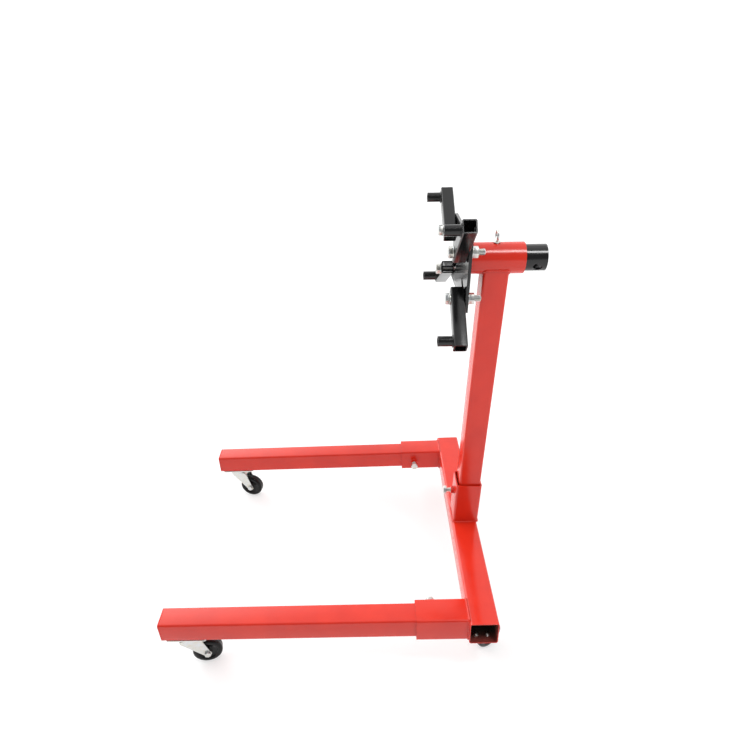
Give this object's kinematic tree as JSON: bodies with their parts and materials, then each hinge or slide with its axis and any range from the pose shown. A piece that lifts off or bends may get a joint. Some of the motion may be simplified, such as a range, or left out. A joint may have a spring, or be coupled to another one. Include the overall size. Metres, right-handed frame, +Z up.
{
  "type": "engine stand",
  "caption": "Rolling engine stand: two legs, rear crossmember, leaning post and a turning head with a slotted plate and swinging arms.",
  "frame": {"origin": "centre of the stand's box, on the floor", "axes": "-X along the legs toward their free ends, +Y across the stand to its far side, +Z up"},
  "size_m": [0.8182, 0.664, 0.9298],
  "materials": {
    "red_paint": "gloss powder coat on welded steel",
    "black_paint": "gloss black paint on steel",
    "zinc_plate": "bright zinc plate",
    "wheel_plastic": "moulded black plastic"
  },
  "bodies": {
    "frame": {"crossmember": "red_paint", "leg_sleeve_near": "red_paint", "leg_sleeve_far": "red_paint", "post_socket": "red_paint", "weld_nut_near": "red_paint", "weld_nut_far": "red_paint", "weld_nut_post": "red_paint", "post": "red_paint", "head_sleeve": "red_paint", "caster_plate_rear_near": "zinc_plate", "caster_plate_rear_far": "zinc_plate"},
    "leg_near": {"leg_near": "red_paint", "leg_end_cap_near": "red_paint", "caster_plate_front_near": "zinc_plate"},
    "clamp_bolt_near": {"clamp_bolt_near": "zinc_plate"},
    "leg_far": {"leg_far": "red_paint", "leg_end_cap_far": "red_paint", "caster_plate_front_far": "zinc_plate"},
    "clamp_bolt_far": {"clamp_bolt_far": "zinc_plate"},
    "clamp_bolt_post": {"clamp_bolt_post": "zinc_plate"},
    "lock_pin": {"lock_pin": "zinc_plate"},
    "head": {"head_spindle": "black_paint", "mounting_plate": "black_paint"},
    "arm_bolt_upper_far": {"arm_bolt_upper_far": "zinc_plate", "arm_nut_upper_far": "zinc_plate"},
    "arm_upper_far": {"arm_upper_far": "black_paint", "finger_upper_far": "black_paint"},
    "arm_bolt_upper_near": {"arm_bolt_upper_near": "zinc_plate", "arm_nut_upper_near": "zinc_plate"},
    "arm_upper_near": {"arm_upper_near": "black_paint", "finger_upper_near": "black_paint"},
    "arm_bolt_lower_near": {"arm_bolt_lower_near": "zinc_plate", "arm_nut_lower_near": "zinc_plate"},
    "arm_lower_near": {"arm_lower_near": "black_paint", "finger_lower_near": "black_paint"},
    "arm_bolt_lower_far": {"arm_bolt_lower_far": "zinc_plate", "arm_nut_lower_far": "zinc_plate"},
    "arm_lower_far": {"arm_lower_far": "black_paint", "finger_lower_far": "black_paint"},
    "caster_front_near": {"fork_front_near": "zinc_plate", "axle_front_near": "zinc_plate"},
    "wheel_front_near": {"wheel_front_near": "wheel_plastic"},
    "caster_front_far": {"fork_front_far": "zinc_plate", "axle_front_far": "zinc_plate"},
    "wheel_front_far": {"wheel_front_far": "wheel_plastic"},
    "caster_rear_near": {"fork_rear_near": "zinc_plate", "axle_rear_near": "zinc_plate"},
    "wheel_rear_near": {"wheel_rear_near": "wheel_plastic"},
    "caster_rear_far": {"fork_rear_far": "zinc_plate", "axle_rear_far": "zinc_plate"},
    "wheel_rear_far": {"wheel_rear_far": "wheel_plastic"}
  },
  "joints": [
    {"name": "leg_slide_near", "type": "slide", "parent": "frame", "child": "leg_near", "axis": [-1, 0, 0], "range_m": [0, 0.06]},
    {"name": "clamp_bolt_near_travel", "type": "slide", "parent": "frame", "child": "clamp_bolt_near", "axis": [0, 1, 0], "range_m": [0, 0.006]},
    {"name": "leg_slide_far", "type": "slide", "parent": "frame", "child": "leg_far", "axis": [-1, 0, 0], "range_m": [0, 0.06]},
    {"name": "clamp_bolt_far_travel", "type": "slide", "parent": "frame", "child": "clamp_bolt_far", "axis": [0, -1, 0], "range_m": [0, 0.006]},
    {"name": "clamp_bolt_post_travel", "type": "slide", "parent": "frame", "child": "clamp_bolt_post", "axis": [-0.9989, 0, 0.0471], "range_m": [0, 0.006]},
    {"name": "lock_pin_lift", "type": "slide", "parent": "frame", "child": "lock_pin", "axis": [0.0314, 0, 0.9995], "range_m": [0, 0.02]},
    {"name": "head_turn", "type": "hinge", "parent": "frame", "child": "head", "pos_m": [0.31387, 0, 0.811], "axis": [0.9995, 0, -0.0314], "continuous": true},
    {"name": "arm_bolt_slide_upper_far", "type": "slide", "parent": "head", "child": "arm_bolt_upper_far", "axis": [-0.0146, -0.8858, -0.4638], "range_m": [-0.01, 0.032]},
    {"name": "arm_swing_upper_far", "type": "hinge", "parent": "arm_bolt_upper_far", "child": "arm_upper_far", "pos_m": [0.24569, 0.07514, 0.84752], "axis": [-0.9995, 0, 0.0314], "range_deg": [-28, 28]},
    {"name": "arm_bolt_slide_upper_near", "type": "slide", "parent": "head", "child": "arm_bolt_upper_near", "axis": [-0.0146, 0.8858, -0.4638], "range_m": [0, 0.042]},
    {"name": "arm_swing_upper_near", "type": "hinge", "parent": "arm_bolt_upper_near", "child": "arm_upper_near", "pos_m": [0.24583, -0.084, 0.85216], "axis": [-0.9995, 0, 0.0314], "range_deg": [-28, 28]},
    {"name": "arm_bolt_slide_lower_near", "type": "slide", "parent": "head", "child": "arm_bolt_lower_near", "axis": [0.0146, 0.8858, 0.4638], "range_m": [0, 0.042]},
    {"name": "arm_swing_lower_near", "type": "hinge", "parent": "arm_bolt_lower_near", "child": "arm_lower_near", "pos_m": [0.24307, -0.084, 0.7642], "axis": [-0.9995, 0, 0.0314], "range_deg": [-28, 28]},
    {"name": "arm_bolt_slide_lower_far", "type": "slide", "parent": "head", "child": "arm_bolt_lower_far", "axis": [0.0146, -0.8858, 0.4638], "range_m": [0, 0.042]},
    {"name": "arm_swing_lower_far", "type": "hinge", "parent": "arm_bolt_lower_far", "child": "arm_lower_far", "pos_m": [0.24307, 0.084, 0.7642], "axis": [-0.9995, 0, 0.0314], "range_deg": [-28, 28]},
    {"name": "swivel_front_near", "type": "hinge", "parent": "leg_near", "child": "caster_front_near", "pos_m": [-0.35713, -0.293, 0.099], "axis": [0, 0, 1], "continuous": true},
    {"name": "wheel_spin_front_near", "type": "hinge", "parent": "caster_front_near", "child": "wheel_front_near", "pos_m": [-0.3268, -0.28656, 0.033], "axis": [-0.2079, 0.9781, 0], "continuous": true},
    {"name": "swivel_front_far", "type": "hinge", "parent": "leg_far", "child": "caster_front_far", "pos_m": [-0.34913, 0.293, 0.099], "axis": [0, 0, 1], "continuous": true},
    {"name": "wheel_spin_front_far", "type": "hinge", "parent": "caster_front_far", "child": "wheel_front_far", "pos_m": [-0.31892, 0.28603, 0.033], "axis": [0.225, 0.9744, 0], "continuous": true},
    {"name": "swivel_rear_near", "type": "hinge", "parent": "frame", "child": "caster_rear_near", "pos_m": [0.27787, -0.278, 0.094], "axis": [0, 0, 1], "continuous": true},
    {"name": "wheel_spin_rear_near", "type": "hinge", "parent": "caster_rear_near", "child": "wheel_rear_near", "pos_m": [0.30327, -0.26022, 0.033], "axis": [-0.5736, 0.8192, 0], "continuous": true},
    {"name": "swivel_rear_far", "type": "hinge", "parent": "frame", "child": "caster_rear_far", "pos_m": [0.27787, 0.278, 0.094], "axis": [0, 0, 1], "continuous": true},
    {"name": "wheel_spin_rear_far", "type": "hinge", "parent": "caster_rear_far", "child": "wheel_rear_far", "pos_m": [0.3082, 0.28445, 0.033], "axis": [-0.2079, 0.9781, 0], "continuous": true}
  ]
}
